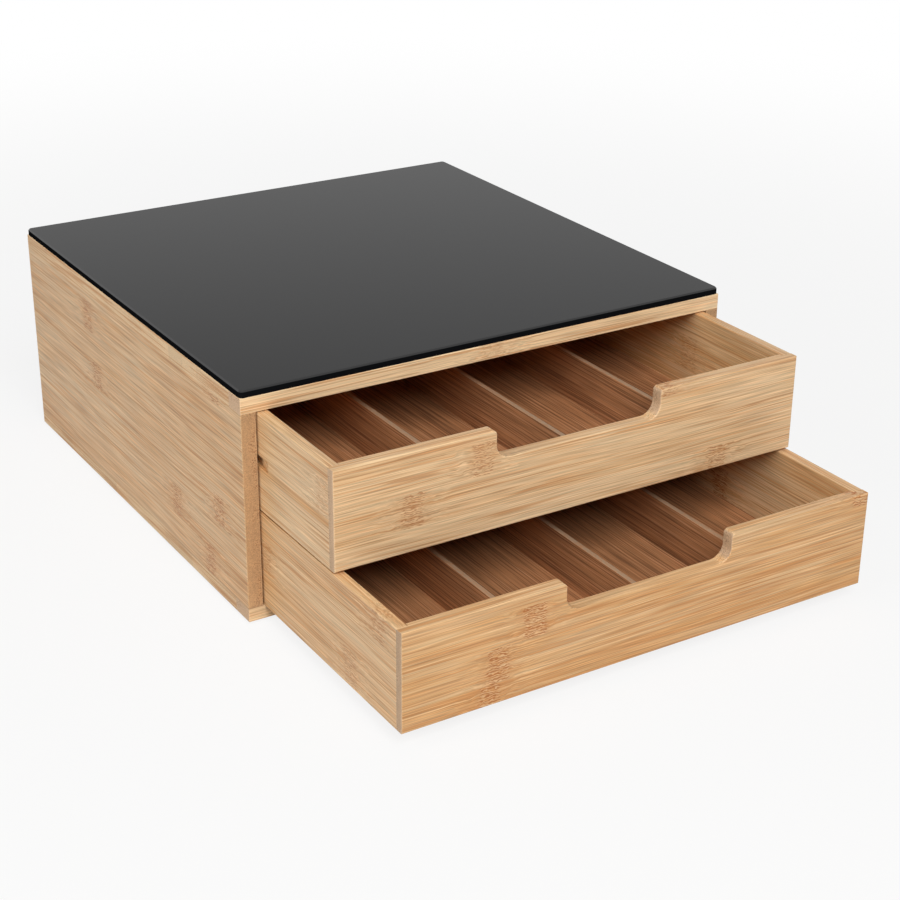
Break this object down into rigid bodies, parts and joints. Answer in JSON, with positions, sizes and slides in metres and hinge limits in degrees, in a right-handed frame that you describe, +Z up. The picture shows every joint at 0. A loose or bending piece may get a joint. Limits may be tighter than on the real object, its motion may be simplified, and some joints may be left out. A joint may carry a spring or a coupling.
{
  "type": "coffee capsule drawer",
  "caption": "Low bamboo case with a black glass top and partly open stacked drawers, each with a wide finger notch and thin partitions for coffee capsules.",
  "frame": {"origin": "centre of the glass top's upper face", "axes": "+X to the right seen from the front, +Y to the back, +Z up; the drawers pull out along -Y"},
  "size_m": [0.31, 0.456, 0.1355],
  "materials": {
    "bamboo": "satin, clear lacquered laminated bamboo",
    "dark_bamboo": "matte, thin brown bamboo sheet",
    "black_glass": "opaque black, polished, with a ground arris",
    "foot_rubber": "matte",
    "dowel_wood": "bare"
  },
  "bodies": {
    "case": {"top_board": "bamboo", "bottom_board": "bamboo", "left_side": "bamboo", "right_side": "bamboo", "back_panel": "bamboo", "left_runner": "bamboo", "right_runner": "bamboo", "glass_top": "black_glass", "foot_front_left": "foot_rubber", "foot_front_right": "foot_rubber", "foot_rear_left": "foot_rubber", "foot_rear_right": "foot_rubber", "dowel_top_left_front": "dowel_wood", "dowel_top_left_middle": "dowel_wood", "dowel_top_left_rear": "dowel_wood", "dowel_top_right_front": "dowel_wood", "dowel_top_right_middle": "dowel_wood", "dowel_top_right_rear": "dowel_wood", "dowel_bottom_left_front": "dowel_wood", "dowel_bottom_left_middle": "dowel_wood", "dowel_bottom_left_rear": "dowel_wood", "dowel_bottom_right_front": "dowel_wood", "dowel_bottom_right_middle": "dowel_wood", "dowel_bottom_right_rear": "dowel_wood"},
    "upper_drawer": {"upper_drawer_front": "bamboo", "upper_drawer_left_side": "bamboo", "upper_drawer_right_side": "bamboo", "upper_drawer_back": "bamboo", "upper_drawer_bottom": "dark_bamboo", "upper_drawer_divider_left": "dark_bamboo", "upper_drawer_divider_middle": "dark_bamboo", "upper_drawer_divider_right": "dark_bamboo"},
    "lower_drawer": {"lower_drawer_front": "bamboo", "lower_drawer_left_side": "bamboo", "lower_drawer_right_side": "bamboo", "lower_drawer_back": "bamboo", "lower_drawer_bottom": "dark_bamboo", "lower_drawer_divider_left": "dark_bamboo", "lower_drawer_divider_middle": "dark_bamboo", "lower_drawer_divider_right": "dark_bamboo"}
  },
  "joints": [
    {"name": "upper_drawer_slide", "type": "slide", "parent": "case", "child": "upper_drawer", "axis": [0, -1, 0], "range_m": [-0.081, 0.099]},
    {"name": "lower_drawer_slide", "type": "slide", "parent": "case", "child": "lower_drawer", "axis": [0, -1, 0], "range_m": [-0.146, 0.034]}
  ]
}
